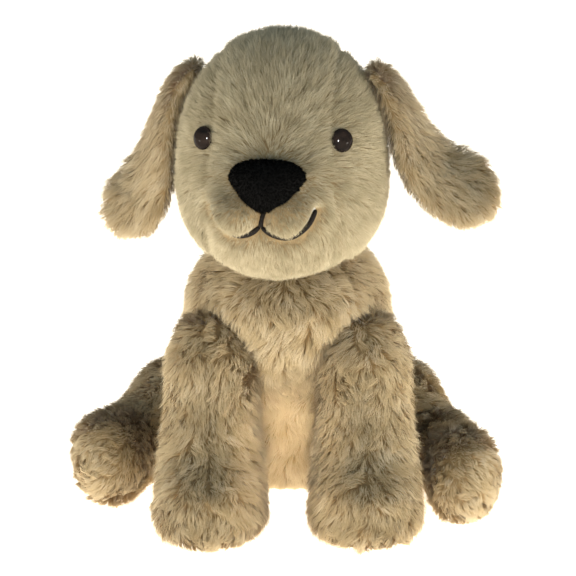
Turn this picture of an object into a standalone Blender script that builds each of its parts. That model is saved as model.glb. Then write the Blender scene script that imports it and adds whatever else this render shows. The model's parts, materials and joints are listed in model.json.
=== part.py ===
"""A seated plush puppy, built as its sewn covers, fillings, safety eyes, stitches and bean bags.

The dog sits on the floor plane Z = 0 and looks along -Y. X runs to the dog's left side. Every size
below is in millimetres, and meshes are scaled to metres when they are made. The surfaces are those
of the fabric; the pile stands on them.
"""

import math

import bpy
import bmesh
import numpy as np
from mathutils import Vector

MM = 0.001

# Driving dimensions ---------------------------------------------------------------------------
COVER = 2.4                  # thickness of the pile fabric with its backing
GAP = 0.35                   # clearance between pieces that touch
FILLING_GAP = 1.0            # room between a filling and the cover around it
SEAM = 0.4                   # width of a seam line between two covers
SHOULDER_CLEARANCE = 1.0     # around a foreleg that swings in its socket
HIP_CLEARANCE = 2.2
TAIL_CLEARANCE = 3.6

BODY_HALF_WIDTH = 57.0       # at the belly and hips
NECK_HEIGHT = 112.0          # height of the point that the head turns about
NECK_Y = -50.0
DOME_RADIUS = BODY_HALF_WIDTH + 1.0    # the shoulders end in a ball that the head rests on
NECK_OPENING = 20.0          # polar angle of the neck opening in that ball, degrees
NECK_LEAN = 14.0             # how far the seam round the neck leans forward, degrees

HEAD_HALF_WIDTH = 55.0
HEAD_HALF_HEIGHT = 62.0
HEAD_HALF_DEPTH = 55.0
HEAD_SINK = 16.0             # how far the skull sinks over the shoulders
HEAD_FORWARD = 24.0          # the skull's centre in front of the neck
HEAD_YAW = -7.0              # the head looks slightly to one side, degrees
GUSSET_ANGLE = 31.0          # half the width of the strip over the head, degrees

EYE_DIAMETER = 12.0
EYE_SPACING = 71.0
EYE_RISE = 8.8               # above the skull's centre
NOSE_WIDTH = 42.0
NOSE_HEIGHT = 29.0
NOSE_DEPTH = 8.0

EAR_LENGTH = 103.0
EAR_WIDTH = 45.0
EAR_LAYER = 3.6              # one of the ear's two layers

FORELEG_X = 43.0
FORELEG_RADIUS = 25.0
SHOULDER = (FORELEG_X, NECK_Y - 30.0, NECK_HEIGHT - 12.0)
FORELEG_SWING = (0.0, 40.0)   # from the seated pose, degrees forwards

HAUNCH_RADIUS = 37.0
HAUNCH = (BODY_HALF_WIDTH + 12.0, 2.0, HAUNCH_RADIUS + 1.0)
FOOT_HEIGHT = 57.0

TAIL_LENGTH = 62.0
TAIL_RADIUS = 12.0
TAIL_ROOT = (0.0, 57.0, 24.0)

LIMB_BLEND = 2.6             # how softly two rounded masses of a limb run into each other
FACE_BLEND = 5.0

SIDES = (("left", -1), ("right", 1))   # as seen by someone facing the dog


# Materials --------------------------------------------------------------------------------------
def make_material(name, colour, roughness, metallic=0.0):
    material = bpy.data.materials.new(name)
    material.use_nodes = True
    shader = material.node_tree.nodes["Principled BSDF"]
    shader.inputs["Base Color"].default_value = (*colour, 1.0)
    shader.inputs["Roughness"].default_value = roughness
    shader.inputs["Metallic"].default_value = metallic
    return material


def make_materials():
    return {
        "plush": make_material("cream_plush", (0.47, 0.37, 0.24), 0.95),
        "lining": make_material("short_plush", (0.50, 0.38, 0.24), 0.95),
        "filling": make_material("fibre_filling", (0.85, 0.85, 0.83), 0.98),
        "beans": make_material("bean_bag_cloth", (0.72, 0.70, 0.66), 0.9),
        "velour": make_material("black_velour", (0.008, 0.008, 0.009), 0.9),
        "thread": make_material("black_thread", (0.01, 0.008, 0.007), 0.7),
        "beige_thread": make_material("beige_thread", (0.45, 0.35, 0.23), 0.8),
        "eye": make_material("gloss_black_eye", (0.006, 0.005, 0.005), 0.06),
        "washer": make_material("white_washer", (0.8, 0.8, 0.78), 0.45),
        "label": make_material("woven_label", (0.85, 0.85, 0.82), 0.7),
    }


# Making objects -----------------------------------------------------------------------------------
def add_object(name, vertices, faces, material, origin=(0, 0, 0), parent=None):
    """A mesh object from points in its parent's frame, with its own origin at the given point."""
    mesh = bpy.data.meshes.new(name)
    origin = Vector(origin)
    mesh.from_pydata([(Vector(v) - origin) * MM for v in vertices], [], faces)
    shaped = bmesh.new()
    shaped.from_mesh(mesh)
    bmesh.ops.remove_doubles(shaped, verts=shaped.verts, dist=1e-6)
    bmesh.ops.recalc_face_normals(shaped, faces=shaped.faces)
    if shaped.calc_volume(signed=True) < 0:
        bmesh.ops.reverse_faces(shaped, faces=shaped.faces)
    shaped.to_mesh(mesh)
    shaped.free()
    mesh.shade_smooth()
    mesh.set_sharp_from_angle(angle=math.radians(50))
    if material:
        mesh.materials.append(material)
    obj = bpy.data.objects.new(name, mesh)
    obj.location = origin * MM
    obj.parent = parent
    bpy.context.collection.objects.link(obj)
    return obj


def add_cutter(name, vertices, faces, parent=None):
    cutter = add_object(name, vertices, faces, None, parent=parent)
    cutter.hide_render = True
    cutter.display_type = "WIRE"
    return cutter


def add_empty(name, location, rotation=(0, 0, 0), parent=None):
    empty = bpy.data.objects.new(name, None)
    empty.location = Vector(location) * MM
    empty.rotation_euler = rotation
    empty.parent = parent
    bpy.context.collection.objects.link(empty)
    return empty


def cut(obj, *cutters):
    for cutter in cutters:
        modifier = obj.modifiers.new("cut_" + cutter.name, "BOOLEAN")
        modifier.operation = "DIFFERENCE"
        modifier.solver = "EXACT"
        modifier.object = cutter


# Grids of points, and solids from them ------------------------------------------------------------
def grid_faces(rows, columns, wrap, start=0):
    """Triangles between the points of a grid that is stored row by row, all split the same way."""
    spans = columns if wrap else columns - 1
    faces = []
    for i in range(rows - 1):
        for j in range(spans):
            here, below = start + i * columns, start + (i + 1) * columns
            right = (j + 1) % columns
            faces.append((here + j, here + right, below + right))
            faces.append((here + j, below + right, below + j))
    return faces


def closed_solid(grid, first_tip, last_tip):
    """A closed skin: rings of points with a tip at each end."""
    rows, columns = grid.shape[:2]
    vertices = [*grid.reshape(-1, 3), first_tip, last_tip]
    faces = grid_faces(rows, columns, True)
    first, last = rows * columns, rows * columns + 1
    for j in range(columns):
        right = (j + 1) % columns
        faces.append((first, right, j))
        faces.append((last, first - columns + j, first - columns + right))
    return vertices, faces


def shell(outer, inner, wrap, outer_tip=None, inner_tip=None):
    """A patch of cover between an outer and an inner grid; the first row may close in a tip."""
    rows, columns = outer.shape[:2]
    count = rows * columns
    vertices = [*outer.reshape(-1, 3), *inner.reshape(-1, 3)]
    faces = grid_faces(rows, columns, wrap) + grid_faces(rows, columns, wrap, count)
    spans = columns if wrap else columns - 1
    last = count - columns
    for j in range(spans):
        right = (j + 1) % columns
        faces.append((last + j, last + right, count + last + right, count + last + j))
    if outer_tip is None:
        faces += [(j, (j + 1) % columns, count + (j + 1) % columns, count + j) for j in range(spans)]
    else:
        vertices += [outer_tip, inner_tip]
        tip = 2 * count
        for j in range(spans):
            right = (j + 1) % columns
            faces.append((tip, j, right))
            faces.append((tip + 1, count + j, count + right))
    if not wrap:
        for edge in (0, columns - 1):
            for i in range(rows - 1):
                a, b = i * columns + edge, (i + 1) * columns + edge
                faces.append((a, b, count + b, count + a))
            if outer_tip is not None:
                faces.append((2 * count, edge, count + edge, 2 * count + 1))
    return vertices, faces


def lathe(profile, segments=20):
    """A turned solid about Z from (radius, height) pairs; a radius of 0 closes an end."""
    rings = [(radius, height) for radius, height in profile if radius > 0]
    grid = np.array([[(radius * math.cos(turn), radius * math.sin(turn), height)
                      for turn in np.linspace(0, 2 * math.pi, segments, endpoint=False)]
                     for radius, height in rings])
    if len(rings) == len(profile):
        return [*grid.reshape(-1, 3)], grid_faces(len(rings) + 1, segments, True)
    return closed_solid(grid, (0, 0, profile[0][1]), (0, 0, profile[-1][1]))


def ring_lathe(profile, segments=20):
    """A turned ring about Z: the closed profile never touches the axis."""
    count = len(profile)
    vertices = [(radius * math.cos(turn), radius * math.sin(turn), height)
                for turn in np.linspace(0, 2 * math.pi, segments, endpoint=False)
                for radius, height in profile]
    faces = []
    for i in range(segments):
        for j in range(count):
            a, b = i * count, ((i + 1) % segments) * count
            right = (j + 1) % count
            faces.append((a + j, a + right, b + right, b + j))
    return vertices, faces


def tube(points, radius, sides=8):
    """A thread or cord along the points, rounded off at its ends."""
    points = [Vector(p) for p in points]
    rings, tips = [], []
    up = Vector((0.13, 0.21, 0.97))
    for i, point in enumerate(points):
        along = (points[min(i + 1, len(points) - 1)] - points[max(i - 1, 0)]).normalized()
        across = along.cross(up).normalized()
        over = across.cross(along)
        size = radius * (0.6 if i in (0, len(points) - 1) else 1.0)
        rings.append([point + (across * math.cos(t) + over * math.sin(t)) * size
                      for t in np.linspace(0, 2 * math.pi, sides, endpoint=False)])
        if i in (0, len(points) - 1):
            tips.append(point + along * (radius * 0.5 * (-1 if i == 0 else 1)))
    return closed_solid(np.array(rings), tips[0], tips[1])


def place(vertices, origin, along):
    """Points made about Z, set with their Z axis along the given direction."""
    turn = Vector((0, 0, 1)).rotation_difference(Vector(along))
    return [turn @ Vector(v) + Vector(origin) for v in vertices]


# Rounded masses -------------------------------------------------------------------------------------
def soft_distance(points, masses, floor=None, blend=LIMB_BLEND):
    """Distance to a soft union of ellipsoids, negative inside; a floor cuts it off flat."""
    total = 0.0
    for centre, radii in masses:
        scaled = (points - np.array(centre)) / np.array(radii)
        reach = np.linalg.norm(scaled, axis=-1)
        slope = np.linalg.norm(scaled / np.array(radii), axis=-1) + 1e-9
        total = total + np.exp(-np.clip(reach * (reach - 1) / slope, -60, 200) / blend)
    distance = -blend * np.log(total + 1e-80)
    return distance if floor is None else np.maximum(distance, floor - points[..., 2])


def cast(start, directions, distance, depth=0.0, reach=150.0):
    """Where rays from inside a mass meet its surface, or the surface that lies deeper by depth."""
    low = np.zeros(directions.shape[:-1])
    high = np.full(directions.shape[:-1], reach)
    for _ in range(32):
        middle = (low + high) / 2
        inside = distance(start + directions * middle[..., None]) < -depth
        low, high = np.where(inside, middle, low), np.where(inside, high, middle)
    return start + directions * low[..., None]


def surface_normal(distance, point):
    """The direction straight out of a mass at a point of its surface."""
    steps = np.eye(3) * 0.05
    rise = np.array([distance(point + s) - distance(point - s) for s in steps])
    return rise / np.linalg.norm(rise)


def draw_in(grid, rows=(0, -1), columns=(0, -1)):
    """The grid with the given edge rows and columns moved inwards along it by half a seam."""
    grid = grid.copy()
    for axis, edges in ((0, rows), (1, columns)):
        lines = np.moveaxis(grid, axis, 0)
        for edge in edges:
            step = lines[1 if edge == 0 else -2] - lines[edge]
            lines[edge] += step / np.linalg.norm(step, axis=-1, keepdims=True) * SEAM / 2
    return grid


class Skin:
    """The surface of rounded masses, seen from a centre: rings run from a pole to the other pole.

    A piece that starts at the far pole runs its turns backwards, so that its triangles are split the
    same way as those of the filling under it.
    """

    def __init__(self, distance, centre, pole, meridian):
        self.distance = distance
        self.centre = np.array(centre, float)
        self.pole = np.array(Vector(pole).normalized())
        across = np.cross(self.pole, meridian)
        self.side = across / np.linalg.norm(across)
        self.meridian = np.cross(self.side, self.pole)

    def grid(self, polar, turns, depth=0.0):
        polar = np.radians(np.array(polar, float))[:, None, None]
        turns = np.radians(np.array(turns, float))[None, :, None]
        ring = np.cos(turns) * self.meridian + np.sin(turns) * self.side
        directions = np.cos(polar) * self.pole + np.sin(polar) * ring
        return cast(self.centre, directions, self.distance, depth)

    def tip(self, end, depth=0.0):
        return cast(self.centre, (self.pole * end)[None, :], self.distance, depth)[0]

    def solid(self, polar, turns, depth):
        return closed_solid(self.grid(polar, turns, depth), self.tip(1, depth), self.tip(-1, depth))

    def cap(self, polar, turns, thickness, end=1):
        """A whole-round piece of cover about one pole, rings from the pole outwards."""
        turns = turns if end > 0 else turns[::-1]
        layers = [draw_in(self.grid(polar, turns, d), (-1,), ()) for d in (0, thickness)]
        return shell(*layers, True, self.tip(end), self.tip(end, thickness))

    def half(self, polar, turns, thickness, end, shift):
        """A piece of cover on one side of a seam through a pole, moved off the seam by shift."""
        turns = turns if end > 0 else turns[::-1]
        layers = [draw_in(self.grid(polar, turns, d), (-1,), ()) for d in (0, thickness)]
        vertices, faces = shell(*layers, False, self.tip(end), self.tip(end, thickness))
        return [np.array(v) + shift for v in vertices], faces

    def patch(self, polar, turns, thickness):
        return shell(*[draw_in(self.grid(polar, turns, d)) for d in (0, thickness)], False)


def whole_turn(count, start=0.0):
    return np.linspace(start, start + 360.0, count, endpoint=False)


# Torso ------------------------------------------------------------------------------------------------
CHEST_ANGLE = 40.0           # the chest panel's half width, as an angle from the front
SEAT_RIM = 9.0               # height where the seat panel is sewn to the others
NECK_PIVOT = (0.0, NECK_Y, NECK_HEIGHT)
PLUG_DEPTH = 30.0


def torso_outline():
    """Height, front, back and half width of the torso's rings, up to the ball of the shoulders."""
    top, wide = NECK_HEIGHT, BODY_HALF_WIDTH
    rows = [
        (0.0, -24.0, 42.0, wide - 17.0),
        (3.0, -34.0, 50.0, wide - 9.0),
        (SEAT_RIM, -42.0, 55.0, wide - 4.0),
        (0.27 * top, -51.0, 59.0, wide - 0.5),
        (0.49 * top, -57.0, 54.0, wide),
        (0.67 * top, -67.0, 43.0, wide),
        (0.80 * top, NECK_Y - 37.0, 31.0, wide),
        (0.93 * top, NECK_Y - 50.0, 20.0, wide + 0.5),
    ]
    for polar in (74, 62, 50, 38, 28, NECK_OPENING, 10):
        ring = DOME_RADIUS * math.sin(math.radians(polar))
        height = top + DOME_RADIUS * math.cos(math.radians(polar))
        rows.append((height, NECK_Y - ring, NECK_Y + ring, ring))
    return np.array(rows)


def torso_surface(heights, turns, depth=0.0):
    """Rings of points on the torso; turn 0 faces the front and 90 the side at +X."""
    table = torso_outline()

    def ring_points(height, turn):
        front, back, wide = (np.interp(height, table[:, 0], table[:, k]) for k in (1, 2, 3))
        reach = np.cos(turn) * (back - front) / 2
        return np.stack([wide * np.sin(turn), (front + back) / 2 - reach, height], axis=-1)

    height, turn = np.meshgrid(heights, np.radians(turns), indexing="ij")
    rise = ring_points(np.minimum(height + 1.5, table[-1, 0]), turn)
    rise = rise - ring_points(np.maximum(height - 1.5, 0.0), turn)
    around = ring_points(height, turn + 0.01) - ring_points(height, turn - 0.01)
    normals = np.cross(around, rise)
    normals /= np.linalg.norm(normals, axis=-1, keepdims=True)
    points = ring_points(height, turn) - normals * depth
    points[..., 2] = np.maximum(points[..., 2], depth)
    return points


def torso_heights(low, high):
    """The outline's own ring heights between two heights, with those two as the ends."""
    between = [h for h in torso_outline()[:, 0] if low + 1.0 < h < high - 1.0]
    return [low, *between, high]


def ellipsoid(centre, radii, rings=8, segments=18):
    polar = np.radians(np.linspace(0, 180, rings + 1)[1:-1])[:, None]
    turn = np.radians(whole_turn(segments))[None, :]
    grid = np.stack([np.cos(polar) * np.ones_like(turn), np.sin(polar) * np.cos(turn),
                     np.sin(polar) * np.sin(turn)], axis=-1) * np.array(radii) + np.array(centre)
    tip = np.array([radii[0], 0, 0])
    return closed_solid(grid, centre + tip, centre - tip)


def foreleg_socket(side):
    """The space that a foreleg sweeps through as it swings about the shoulder, as slices along X."""
    low, high = FORELEG_SWING
    paw_lead = 40.0
    reach = SHOULDER[2] + 25.0
    spare = 4.0
    back, front = math.radians(low - spare), math.radians(high + paw_lead)
    slices = []
    for share in np.cos(np.radians(np.linspace(180, 0, 8))):
        radius = FORELEG_RADIUS * math.sqrt(1 - share * share) + SHOULDER_CLEARANCE
        x = FORELEG_X - 1.0 + share * (FORELEG_RADIUS - 1.0 + SHOULDER_CLEARANCE)
        outline = []
        for turn in np.linspace(-back, math.pi - front, 8):
            outline.append((math.cos(turn) * radius, math.sin(turn) * radius))
        along_front = (-math.sin(front) * reach, -math.cos(front) * reach)
        outline.append((outline[-1][0] + along_front[0], outline[-1][1] + along_front[1]))
        middle = (back + front) / 2
        outline.append((-math.sin(middle) * reach * 1.3, -math.cos(middle) * reach * 1.3))
        along_back = (-math.sin(back) * reach, -math.cos(back) * reach)
        outline.append((outline[0][0] + along_back[0], outline[0][1] + along_back[1]))
        slices.append([(side * x, SHOULDER[1] + y, SHOULDER[2] + z) for y, z in outline])
    grid = np.array(slices)
    middle = np.array([(0, SHOULDER[1] - 20.0, SHOULDER[2] - 30.0)])
    first, last = middle + [grid[0, 0, 0], 0, 0], middle + [grid[-1, 0, 0], 0, 0]
    return closed_solid(grid, first[0], last[0])


def neck_plug_profile(clearance, top):
    """The filling that passes through the neck opening, turned about Z above the neck pivot."""
    lean = math.radians(NECK_OPENING)
    under = DOME_RADIUS - COVER - FILLING_GAP
    rim = DOME_RADIUS * math.sin(lean) - SEAM
    throat = under * math.sin(lean) - SEAM + clearance
    foot = under * math.cos(lean) - PLUG_DEPTH
    profile = [(0, foot - clearance), (throat * 0.6, foot - clearance),
               (throat * 0.8, foot + 5.0 - clearance), (throat, under * math.cos(lean))]
    return profile + top(rim, DOME_RADIUS * math.cos(lean))


def make_torso(material):
    def plug_hole(rim, rise):
        return [(rim, rise + 20.0), (0, rise + 20.0)]

    def plug_crown(rim, rise):
        crown = [(DOME_RADIUS * math.sin(a), DOME_RADIUS * math.cos(a))
                 for a in np.radians([NECK_OPENING * 0.62, NECK_OPENING * 0.3])]
        return [(rim, rise), *crown, (0, DOME_RADIUS)]

    vertices, faces = lathe(neck_plug_profile(GAP, plug_hole))
    plug_cutter = add_cutter("cut_neck", place(vertices, NECK_PIVOT, (0, 0, 1)), faces)
    tail_cutter = add_cutter("cut_tail", *ellipsoid(TAIL_ROOT, [TAIL_RADIUS + TAIL_CLEARANCE] * 3))
    sockets = [plug_cutter, tail_cutter]
    for name, side in SIDES:
        sockets.append(add_cutter("cut_foreleg_" + name, *foreleg_socket(side)))
        haunch = (side * HAUNCH[0], HAUNCH[1], HAUNCH[2])
        sizes = (HAUNCH_WIDTH + HIP_CLEARANCE, *[HAUNCH_RADIUS + HIP_CLEARANCE] * 2)
        sockets.append(add_cutter("cut_hindleg_" + name, *ellipsoid(haunch, sizes)))

    opening = NECK_HEIGHT + DOME_RADIUS * math.cos(math.radians(NECK_OPENING))
    heights = torso_heights(SEAT_RIM, opening)
    front = np.linspace(-CHEST_ANGLE, CHEST_ANGLE, 7)
    flank = np.linspace(CHEST_ANGLE, 180.0, 10)

    def panel(turns):
        return shell(*[draw_in(torso_surface(heights, turns, d)) for d in (0, COVER)], False)

    chest = add_object("chest_panel", *panel(front), material["plush"])
    cut(chest, *sockets[2:])
    for name, side in SIDES:
        cover = add_object("side_panel_" + name, *panel(np.sort(side * flank)), material["plush"])
        cut(cover, tail_cutter, *[s for s in sockets[2:] if s.name.endswith(name)])

    turns = np.concatenate([front, flank[1:], -flank[-2:0:-1]])
    low = torso_heights(0.0, SEAT_RIM)
    layers = [draw_in(torso_surface(low, turns, d), (-1,), ()) for d in (0, COVER)]
    seat = shell(*layers, True, (0.0, 0.0, 0.0), (0.0, 0.0, COVER))
    seat = add_object("seat_panel", *seat, material["plush"])
    cut(seat, *[s for s in sockets if "hindleg" in s.name])
    inset = COVER + FILLING_GAP
    heights = torso_heights(0.0, torso_outline()[-1, 0])
    filling = closed_solid(torso_surface(heights, turns, inset), (0.0, 0.0, inset),
                           (0.0, NECK_Y, NECK_HEIGHT + DOME_RADIUS - inset))
    filling = add_object("torso_stuffing", *filling, material["filling"])
    bag = (0.0, 6.0, inset)
    bag_cutter = add_cutter("cut_seat_bag", *ellipsoid(bag, (31.0, 31.0, 18.0)))
    cut(filling, *sockets, bag_cutter)
    add_object("seat_bean_bag", *bean_bag(bag, (31.0 - 1.0, 31.0 - 1.0, 18.0 - 1.0)), material["beans"])

    vertices, faces = lathe(neck_plug_profile(0.0, plug_crown))
    vertices = place(vertices, NECK_PIVOT, (0, 0, 1))
    add_object("neck_stuffing", vertices, faces, material["filling"], NECK_PIVOT)
    band = []
    for radius, angles in ((DOME_RADIUS + 1.9, (30, 35)), (DOME_RADIUS + 0.9, (35, 30))):
        band += [(radius * math.sin(math.radians(a)), radius * math.cos(math.radians(a)))
                 for a in angles]
    vertices, faces = ring_lathe(band, 30)
    lean = math.radians(NECK_LEAN)
    vertices = place(vertices, NECK_PIVOT, (0, -math.sin(lean), math.cos(lean)))
    add_object("neck_thread", vertices, faces, material["beige_thread"], NECK_PIVOT)
    make_back_seam(material)


def bean_bag(centre, radii):
    """A flat-bottomed bag of beans: the upper half of an ellipsoid."""
    segments, rings = 18, 4
    turn = np.radians(whole_turn(segments))[None, :]
    polar = np.radians(np.linspace(90, 20, rings))[:, None]
    grid = np.stack([np.sin(polar) * np.cos(turn), np.sin(polar) * np.sin(turn),
                     np.cos(polar) * np.ones_like(turn)], axis=-1) * np.array(radii)
    grid = grid + np.array(centre)
    return closed_solid(grid, np.array(centre), np.array(centre) + [0, 0, radii[2]])


def make_back_seam(material):
    """The ladder stitch that closes the back, and the label sewn in beside it."""
    radius = 0.7
    heights = np.linspace(0.52 * NECK_HEIGHT, 0.86 * NECK_HEIGHT, 9)
    seam = torso_surface(heights, [180.0], -(radius + GAP))[:, 0]
    seam[:, 0] = [radius * (-1) ** i for i in range(len(seam))]
    add_object("closing_stitch", *tube(seam, radius, 6), material["beige_thread"])
    label_turn = 168.0
    foot = torso_surface([0.40 * NECK_HEIGHT], [label_turn])[0, 0]
    next_to = torso_surface([0.40 * NECK_HEIGHT], [label_turn - 1.0])[0, 0]
    across = (next_to - foot) / np.linalg.norm(next_to - foot)
    out = np.cross(across, [0, 0, 1]) * -1
    width, length, thick, droop = 13.0, 20.0, 0.8, 0.15
    box = [foot + across * (x - 0.5) * width + out * (2 * GAP + y * length)
           + np.array([0, 0, z * thick - droop * y * length])
           for x in (0, 1) for y in (0, 1) for z in (0, 1)]
    faces = [(0, 1, 3, 2), (4, 6, 7, 5), (0, 4, 5, 1), (2, 3, 7, 6), (0, 2, 6, 4), (1, 5, 7, 3)]
    add_object("care_label", box, faces, material["label"])


# Head --------------------------------------------------------------------------------------------------
SKULL = np.array([0.0, -HEAD_FORWARD, DOME_RADIUS + HEAD_HALF_HEIGHT - HEAD_SINK])
SHANK_RADIUS = 1.7
WASHER_RADIUS = 6.0
POCKET_DEPTH = 11.0
NOSE_TURN, NAPE_TURN = 8.0, 102.0      # where the gusset meets the chin panel, down from the front
STITCH_RADIUS = 0.8
NOSE_FABRIC = 1.6
NOSE_SEGMENTS = 28


def head_masses():
    """Skull, cheeks, muzzle and chin, measured from the neck pivot in the head's own frame."""
    wide, deep, tall = HEAD_HALF_WIDTH, HEAD_HALF_DEPTH, HEAD_HALF_HEIGHT
    masses = [(SKULL, (wide, deep, tall))]
    for side in (-1, 1):
        masses.append((SKULL + [side * 0.36 * wide, -2.0, -0.42 * tall],
                       (0.64 * wide, 0.73 * deep, 0.62 * tall)))
    masses.append((SKULL + [0, -0.73 * deep, -0.36 * tall], (0.62 * wide, 0.58 * deep, 0.47 * tall)))
    masses.append((SKULL + [0, -0.44 * deep, -0.72 * tall], (0.58 * wide, 0.58 * deep, 0.37 * tall)))
    return masses


def head_distance(points):
    return soft_distance(points, head_masses(), blend=FACE_BLEND)


def on_face(x, height):
    """The point of the face that lies straight ahead of a place across and above the skull's centre."""
    start = SKULL + [x, 0, height]
    return cast(start, np.array([[0.0, -1.0, 0.0]]), head_distance)[0]


def make_head(material):
    frame = add_empty("head_frame", NECK_PIVOT, (0, 0, math.radians(HEAD_YAW)))
    skin = Skin(head_distance, SKULL, (1, 0, 0), (0, -1, 0))
    carve = add_cutter("cut_shoulder_ball",
                       *ellipsoid(np.zeros(3), [DOME_RADIUS + 3.4] * 3, 14, 28), frame)
    near, far = 90 - GUSSET_ANGLE, 90 + GUSSET_ANGLE
    side_rings = np.array([14, 27, 39, 50]) * near / 59
    strip = np.linspace(near, far, 7)
    under = np.linspace(NOSE_TURN, NAPE_TURN, 10)
    over = np.linspace(NAPE_TURN, NOSE_TURN + 360, 19)
    turns = np.concatenate([under, over[1:-1]])
    rings = np.concatenate([side_rings, strip, 180 - side_rings[::-1]])
    gusset = add_object("forehead_gusset", *skin.patch(strip, over, COVER), material["plush"],
                        parent=frame)
    chin = add_object("chin_panel", *skin.patch(strip, under, COVER), material["plush"], parent=frame)
    filling = add_object("head_stuffing", *skin.solid(rings, turns, COVER + FILLING_GAP),
                         material["filling"], parent=frame)
    cut(gusset, carve)
    cut(chin, carve)
    cut(filling, carve)
    for name, side in SIDES:
        polar = np.append(side_rings, near)
        polar = polar if side > 0 else 180 - polar
        cheek = add_object("face_panel_" + name, *skin.cap(polar, turns, COVER, side),
                           material["plush"], parent=frame)
        hole, pocket = make_eye(material, name, side, frame)
        cut(cheek, carve, hole)
        cut(filling, pocket)
    make_nose(material, frame)
    make_mouth(material, frame)
    for name, side in SIDES:
        make_ear(material, name, side, frame)


def make_eye(material, name, side, frame):
    """A safety eye: a dome on a shank that passes through the cover and is held by a washer."""
    point = on_face(side * EYE_SPACING / 2, EYE_RISE)
    normal = surface_normal(head_distance, point)
    radius = EYE_DIAMETER / 2
    rim = 0.8
    dome = [(radius * math.sin(a), rim + 0.8 + radius * 0.62 * math.cos(a))
            for a in np.radians([90, 68, 45, 22])]
    profile = [(0, -9.0), (SHANK_RADIUS, -9.0), (SHANK_RADIUS, rim), (radius - 0.6, rim), *dome,
               (0, rim + 0.8 + radius * 0.62)]
    vertices, faces = lathe(profile, 18)
    add_object("eye_" + name, place(vertices, point, normal), faces, material["eye"], parent=frame)
    front = -COVER - 0.9
    hub = SHANK_RADIUS + GAP
    washer = [(hub, front), (WASHER_RADIUS, front), (WASHER_RADIUS, front - 1.2), (hub, front - 1.2)]
    vertices, faces = ring_lathe(washer, 18)
    add_object("eye_washer_" + name, place(vertices, point, normal), faces, material["washer"],
               parent=frame)
    bore, well = SHANK_RADIUS + GAP, WASHER_RADIUS + 1.0
    vertices, faces = lathe([(0, -7.0), (bore, -7.0), (bore, 4.0), (0, 4.0)], 16)
    hole = add_cutter("cut_eye_hole_" + name, place(vertices, point, normal), faces, frame)
    vertices, faces = lathe([(0, -POCKET_DEPTH), (well, -POCKET_DEPTH), (well, 4.0), (0, 4.0)], 16)
    return hole, add_cutter("cut_eye_well_" + name, place(vertices, point, normal), faces, frame)


def nose_height(share):
    return NOSE_DEPTH * (1 - share ** 2.6) ** 0.5


def make_nose(material, frame):
    """A padded velour nose: a rounded triangle, point down, on the front of the muzzle."""
    centre = on_face(0.0, -0.15 * HEAD_HALF_HEIGHT)
    out = surface_normal(head_distance, centre)
    across = np.array([1.0, 0.0, 0.0])
    up = np.cross(out, across)
    angles = np.radians(whole_turn(NOSE_SEGMENTS))
    corner = 1 + 0.14 * np.sin(3 * angles)
    widest = (np.cos(angles) * corner).max()
    outline = (np.outer(np.cos(angles) * corner * NOSE_WIDTH / 2 / widest, across)
               + np.outer(np.sin(angles) * corner * NOSE_HEIGHT / 2, up))
    fabric, hem = NOSE_FABRIC, 0.88

    def ring(share, height):
        """The outline shrunk by a share, at a height above points that clear the face by a gap."""
        start = centre - out * 20 + outline * share
        under = cast(start, np.broadcast_to(out, start.shape), head_distance)
        clear = np.array([surface_normal(head_distance, p) * GAP for p in under])
        return under + clear + out * height

    def stack(shares, heights):
        return np.array([ring(s, h) for s, h in zip(shares, heights)])

    shares = [0.3, 0.55, 0.78, 0.93, 1.0]
    outer = stack(shares, [nose_height(s) for s in shares])
    inner = stack([s * hem for s in shares], [max(nose_height(s) - fabric, 0.0) for s in shares])
    top = centre + out * (GAP + NOSE_DEPTH)
    pad = shell(outer, inner, True, top, top - out * fabric)
    add_object("nose_pad", *pad, material["velour"], parent=frame)
    shares = [0.3, 0.55, 0.75, 0.88]
    inside = [s * (hem - 0.03) for s in shares]
    upper = stack(inside, [nose_height(s) - fabric - GAP for s in shares])
    lower = stack(inside[::-1], [0.0] * len(shares))
    filling = closed_solid(np.concatenate([upper, lower]), top - out * (fabric + GAP),
                           centre + out * GAP)
    add_object("nose_stuffing", *filling, material["filling"], parent=frame)


def make_mouth(material, frame):
    """Three embroidered lines: one down from the nose and a smile to each side."""
    tall = HEAD_HALF_HEIGHT
    lift = STITCH_RADIUS + GAP

    def stitch(name, route):
        points = [on_face(x, z) for x, z in route]
        points = [p + surface_normal(head_distance, p) * lift for p in points]
        add_object(name, *tube(points, STITCH_RADIUS, 6), material["thread"], parent=frame)

    lip = -0.55 * tall
    stitch("mouth_stitch_middle", [(-1.0, lip + 7.5), (-1.5, lip + 5.0), (-2.0, lip + 2.5)])
    for name, side in SIDES:
        route = [(2.5, 0.0), (7.0, -3.5), (13.0, -4.5), (19.0, -2.5), (24.0, 2.5), (27.5, 9.0)]
        stitch("mouth_stitch_" + name, [(side * x - 2.0, lip + z) for x, z in route])


# Ears ----------------------------------------------------------------------------------------------------
EAR_ROOT_ANGLE = 49.0        # from straight up, round the side of the skull
EAR_FLARE = {"left": (48, 21, 12, 34, 46), "right": (46, 22, 30, 62, 80)}   # from straight down
EAR_TWIST = 70.0             # how far the tip's rear edge swings outwards


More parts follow.
